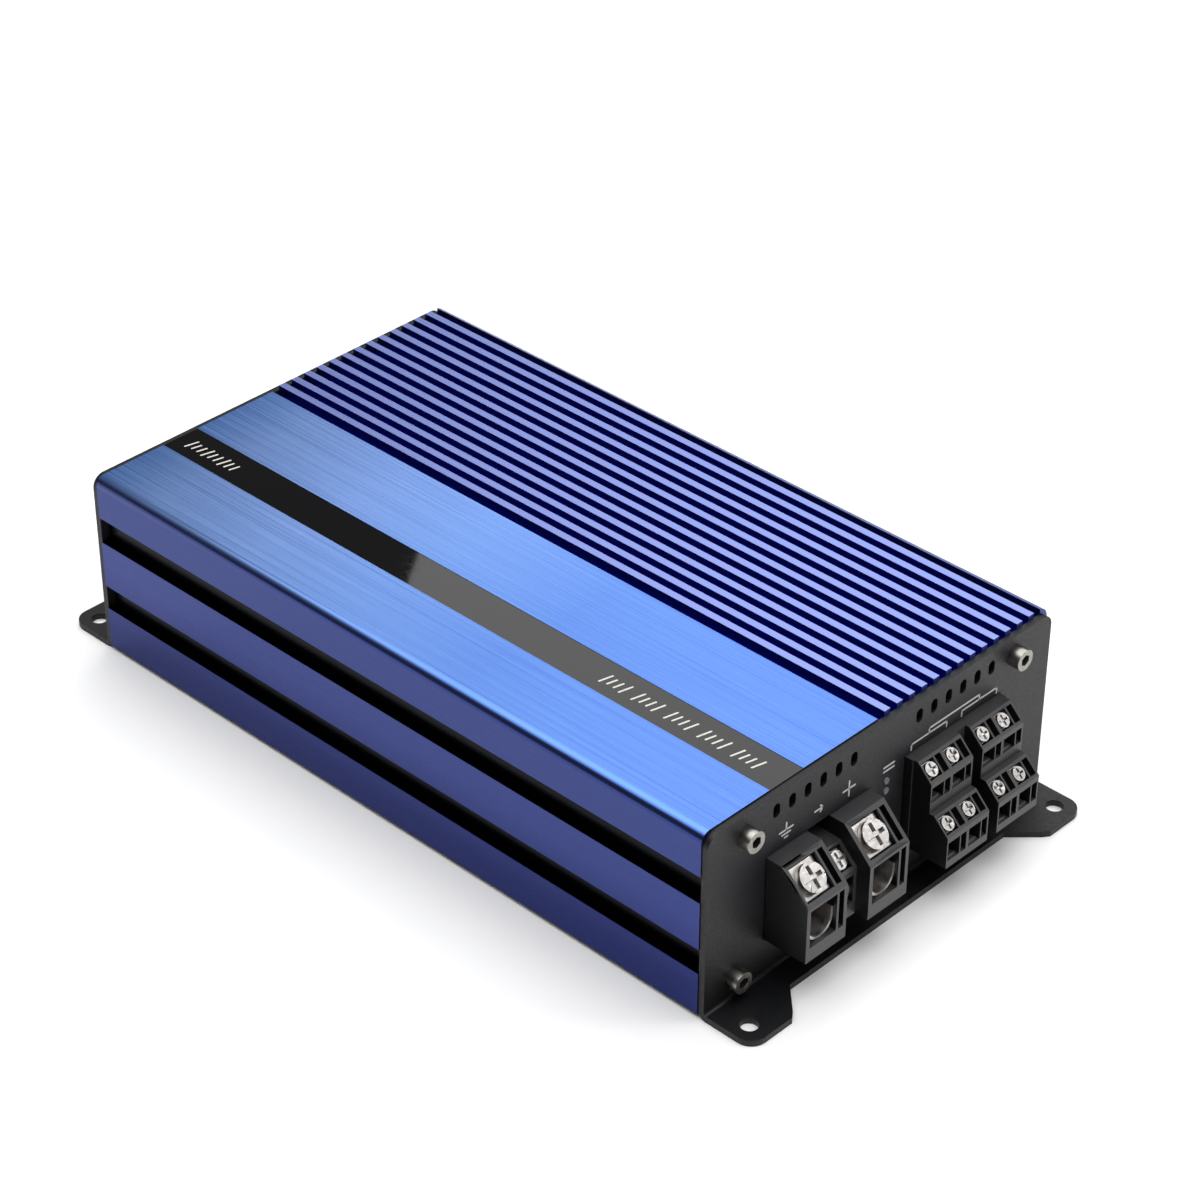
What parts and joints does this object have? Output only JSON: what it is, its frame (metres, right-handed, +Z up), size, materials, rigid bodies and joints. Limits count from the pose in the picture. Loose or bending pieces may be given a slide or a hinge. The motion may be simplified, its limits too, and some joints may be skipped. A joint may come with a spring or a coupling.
{
  "type": "car amplifier",
  "caption": "Finned blue aluminium car amplifier with black end plates, screw terminals at one end and jacks, level knobs and filter switches at the other.",
  "frame": {"origin": "middle of the surface that the mounting feet stand on, under the centre of the amplifier", "axes": "+X along the casing towards the power and speaker terminals, +Y across it towards the fins, +Z up"},
  "size_m": [0.276, 0.14, 0.0615],
  "materials": {
    "blue_anodised": "blue anodised extrusion, brushed along its length on the flat top",
    "strip_black": "black gloss strip let into the top",
    "black_coated_steel": "black powder-coated sheet steel",
    "terminal_plastic": "black moulded terminal body",
    "nickel_screw": "bright nickel-plated steel screw",
    "tinned_contact": "tinned brass contact and clamp plate",
    "zinc_screw": "zinc-plated steel",
    "board_green": "glass-fibre board with green solder mask",
    "brass_part": "turned brass spacer",
    "ferrite": "ferrite core",
    "copper_wire": "enamelled copper wire",
    "capacitor_sleeve": "shrunk sleeve on an aluminium can",
    "chip_black": "moulded epoxy package",
    "grey_pad": "heat-conducting insulating pad",
    "knob_black": "black moulded plastic",
    "gold_plated": "gold-plated jack barrel",
    "jack_plastic": "white jack insulator",
    "lamp_lens": "green-tinted light pipe"
  },
  "bodies": {
    "casing": {"heatsink_housing": "blue_anodised", "top_strip": "strip_black", "bottom_cover": "black_coated_steel", "bottom_cover_screws": "zinc_screw", "terminal_end_plate": "black_coated_steel", "terminal_plate_screws": "nickel_screw", "input_end_plate": "black_coated_steel", "input_plate_screws": "nickel_screw", "power_terminal_block": "terminal_plastic", "power_contacts": "tinned_contact", "speaker_terminal_block": "terminal_plastic", "speaker_contacts": "tinned_contact", "main_board": "board_green", "board_standoffs": "brass_part", "board_screws": "zinc_screw", "transformer_core": "ferrite", "transformer_winding": "copper_wire", "input_capacitors": "capacitor_sleeve", "rail_capacitors": "capacitor_sleeve", "output_inductors": "ferrite", "control_chips": "chip_black", "power_transistors": "chip_black", "insulating_pads": "grey_pad", "clamp_bars": "zinc_screw", "clamp_bar_screws": "zinc_screw", "jack_housing": "knob_black", "jack_shells": "gold_plated", "jack_inserts": "jack_plastic", "pot_bodies": "zinc_screw", "switch_bodies": "zinc_screw", "status_lights": "lamp_lens"},
    "ground_clamp": {"ground_clamp": "tinned_contact"},
    "ground_screw": {"ground_screw": "nickel_screw"},
    "remote_clamp": {"remote_clamp": "tinned_contact"},
    "remote_screw": {"remote_screw": "nickel_screw"},
    "battery_clamp": {"battery_clamp": "tinned_contact"},
    "battery_screw": {"battery_screw": "nickel_screw"},
    "speaker_clamp_1": {"speaker_clamp_1": "tinned_contact"},
    "speaker_screw_1": {"speaker_screw_1": "nickel_screw"},
    "speaker_clamp_2": {"speaker_clamp_2": "tinned_contact"},
    "speaker_screw_2": {"speaker_screw_2": "nickel_screw"},
    "speaker_clamp_3": {"speaker_clamp_3": "tinned_contact"},
    "speaker_screw_3": {"speaker_screw_3": "nickel_screw"},
    "speaker_clamp_4": {"speaker_clamp_4": "tinned_contact"},
    "speaker_screw_4": {"speaker_screw_4": "nickel_screw"},
    "speaker_clamp_5": {"speaker_clamp_5": "tinned_contact"},
    "speaker_screw_5": {"speaker_screw_5": "nickel_screw"},
    "speaker_clamp_6": {"speaker_clamp_6": "tinned_contact"},
    "speaker_screw_6": {"speaker_screw_6": "nickel_screw"},
    "speaker_clamp_7": {"speaker_clamp_7": "tinned_contact"},
    "speaker_screw_7": {"speaker_screw_7": "nickel_screw"},
    "speaker_clamp_8": {"speaker_clamp_8": "tinned_contact"},
    "speaker_screw_8": {"speaker_screw_8": "nickel_screw"},
    "front_level_knob": {"front_level_knob": "knob_black"},
    "rear_level_knob": {"rear_level_knob": "knob_black"},
    "low_pass_knob": {"low_pass_knob": "knob_black"},
    "high_pass_knob": {"high_pass_knob": "knob_black"},
    "front_filter_lever": {"front_filter_lever": "knob_black"},
    "rear_filter_lever": {"rear_filter_lever": "knob_black"}
  },
  "joints": [
    {"name": "ground_clamp_travel", "type": "slide", "parent": "casing", "child": "ground_clamp", "axis": [-0.7071, 0, -0.7071], "range_m": [0, 0.003]},
    {"name": "ground_screw_turn", "type": "hinge", "parent": "ground_clamp", "child": "ground_screw", "pos_m": [0.13075, -0.0404, 0.03625], "axis": [-0.7071, 0, -0.7071], "range_deg": [0, 1351]},
    {"name": "remote_clamp_travel", "type": "slide", "parent": "casing", "child": "remote_clamp", "axis": [-0.7071, 0, -0.7071], "range_m": [0, 0.0024]},
    {"name": "remote_screw_turn", "type": "hinge", "parent": "remote_clamp", "child": "remote_screw", "pos_m": [0.128, -0.0267, 0.0325], "axis": [-0.7071, 0, -0.7071], "range_deg": [0, 1441]},
    {"name": "battery_clamp_travel", "type": "slide", "parent": "casing", "child": "battery_clamp", "axis": [-0.7071, 0, -0.7071], "range_m": [0, 0.003]},
    {"name": "battery_screw_turn", "type": "hinge", "parent": "battery_clamp", "child": "battery_screw", "pos_m": [0.13075, -0.0156, 0.03625], "axis": [-0.7071, 0, -0.7071], "range_deg": [0, 1351]},
    {"name": "speaker_1_clamp_travel", "type": "slide", "parent": "casing", "child": "speaker_clamp_1", "axis": [-0.7071, 0, -0.7071], "range_m": [0, 0.002]},
    {"name": "speaker_1_screw_turn", "type": "hinge", "parent": "speaker_clamp_1", "child": "speaker_screw_1", "pos_m": [0.1275, 0.01165, 0.0412], "axis": [-0.7071, 0, -0.7071], "range_deg": [0, 1441]},
    {"name": "speaker_2_clamp_travel", "type": "slide", "parent": "casing", "child": "speaker_clamp_2", "axis": [-0.7071, 0, -0.7071], "range_m": [0, 0.002]},
    {"name": "speaker_2_screw_turn", "type": "hinge", "parent": "speaker_clamp_2", "child": "speaker_screw_2", "pos_m": [0.1275, 0.02045, 0.0412], "axis": [-0.7071, 0, -0.7071], "range_deg": [0, 1441]},
    {"name": "speaker_3_clamp_travel", "type": "slide", "parent": "casing", "child": "speaker_clamp_3", "axis": [-0.7071, 0, -0.7071], "range_m": [0, 0.002]},
    {"name": "speaker_3_screw_turn", "type": "hinge", "parent": "speaker_clamp_3", "child": "speaker_screw_3", "pos_m": [0.1275, 0.03335, 0.0412], "axis": [-0.7071, 0, -0.7071], "range_deg": [0, 1441]},
    {"name": "speaker_4_clamp_travel", "type": "slide", "parent": "casing", "child": "speaker_clamp_4", "axis": [-0.7071, 0, -0.7071], "range_m": [0, 0.002]},
    {"name": "speaker_4_screw_turn", "type": "hinge", "parent": "speaker_clamp_4", "child": "speaker_screw_4", "pos_m": [0.1275, 0.04215, 0.0412], "axis": [-0.7071, 0, -0.7071], "range_deg": [0, 1441]},
    {"name": "speaker_5_clamp_travel", "type": "slide", "parent": "casing", "child": "speaker_clamp_5", "axis": [-0.7071, 0, -0.7071], "range_m": [0, 0.002]},
    {"name": "speaker_5_screw_turn", "type": "hinge", "parent": "speaker_clamp_5", "child": "speaker_screw_5", "pos_m": [0.1342, 0.01165, 0.0266], "axis": [-0.7071, 0, -0.7071], "range_deg": [0, 1441]},
    {"name": "speaker_6_clamp_travel", "type": "slide", "parent": "casing", "child": "speaker_clamp_6", "axis": [-0.7071, 0, -0.7071], "range_m": [0, 0.002]},
    {"name": "speaker_6_screw_turn", "type": "hinge", "parent": "speaker_clamp_6", "child": "speaker_screw_6", "pos_m": [0.1342, 0.02045, 0.0266], "axis": [-0.7071, 0, -0.7071], "range_deg": [0, 1441]},
    {"name": "speaker_7_clamp_travel", "type": "slide", "parent": "casing", "child": "speaker_clamp_7", "axis": [-0.7071, 0, -0.7071], "range_m": [0, 0.002]},
    {"name": "speaker_7_screw_turn", "type": "hinge", "parent": "speaker_clamp_7", "child": "speaker_screw_7", "pos_m": [0.1342, 0.03335, 0.0266], "axis": [-0.7071, 0, -0.7071], "range_deg": [0, 1441]},
    {"name": "speaker_8_clamp_travel", "type": "slide", "parent": "casing", "child": "speaker_clamp_8", "axis": [-0.7071, 0, -0.7071], "range_m": [0, 0.002]},
    {"name": "speaker_8_screw_turn", "type": "hinge", "parent": "speaker_clamp_8", "child": "speaker_screw_8", "pos_m": [0.1342, 0.04215, 0.0266], "axis": [-0.7071, 0, -0.7071], "range_deg": [0, 1441]},
    {"name": "front_level_turn", "type": "hinge", "parent": "casing", "child": "front_level_knob", "pos_m": [-0.121, -0.05, 0.025], "axis": [-1, 0, 0], "range_deg": [-140, 140]},
    {"name": "rear_level_turn", "type": "hinge", "parent": "casing", "child": "rear_level_knob", "pos_m": [-0.121, -0.036, 0.025], "axis": [-1, 0, 0], "range_deg": [-140, 140]},
    {"name": "low_pass_turn", "type": "hinge", "parent": "casing", "child": "low_pass_knob", "pos_m": [-0.121, -0.022, 0.025], "axis": [-1, 0, 0], "range_deg": [-140, 140]},
    {"name": "high_pass_turn", "type": "hinge", "parent": "casing", "child": "high_pass_knob", "pos_m": [-0.121, -0.008, 0.025], "axis": [-1, 0, 0], "range_deg": [-140, 140]},
    {"name": "front_filter_slide", "type": "slide", "parent": "casing", "child": "front_filter_lever", "axis": [0, 1, 0], "range_m": [-0.002, 0.002]},
    {"name": "rear_filter_slide", "type": "slide", "parent": "casing", "child": "rear_filter_lever", "axis": [0, 1, 0], "range_m": [-0.002, 0.002]}
  ],
  "couplings": [
    {"joint": "ground_screw_turn", "follows": "ground_clamp_travel", "rad_per_m": 7854},
    {"joint": "remote_screw_turn", "follows": "remote_clamp_travel", "rad_per_m": 10472},
    {"joint": "battery_screw_turn", "follows": "battery_clamp_travel", "rad_per_m": 7854},
    {"joint": "speaker_1_screw_turn", "follows": "speaker_1_clamp_travel", "rad_per_m": 12566},
    {"joint": "speaker_2_screw_turn", "follows": "speaker_2_clamp_travel", "rad_per_m": 12566},
    {"joint": "speaker_3_screw_turn", "follows": "speaker_3_clamp_travel", "rad_per_m": 12566},
    {"joint": "speaker_4_screw_turn", "follows": "speaker_4_clamp_travel", "rad_per_m": 12566},
    {"joint": "speaker_5_screw_turn", "follows": "speaker_5_clamp_travel", "rad_per_m": 12566},
    {"joint": "speaker_6_screw_turn", "follows": "speaker_6_clamp_travel", "rad_per_m": 12566},
    {"joint": "speaker_7_screw_turn", "follows": "speaker_7_clamp_travel", "rad_per_m": 12566},
    {"joint": "speaker_8_screw_turn", "follows": "speaker_8_clamp_travel", "rad_per_m": 12566}
  ]
}
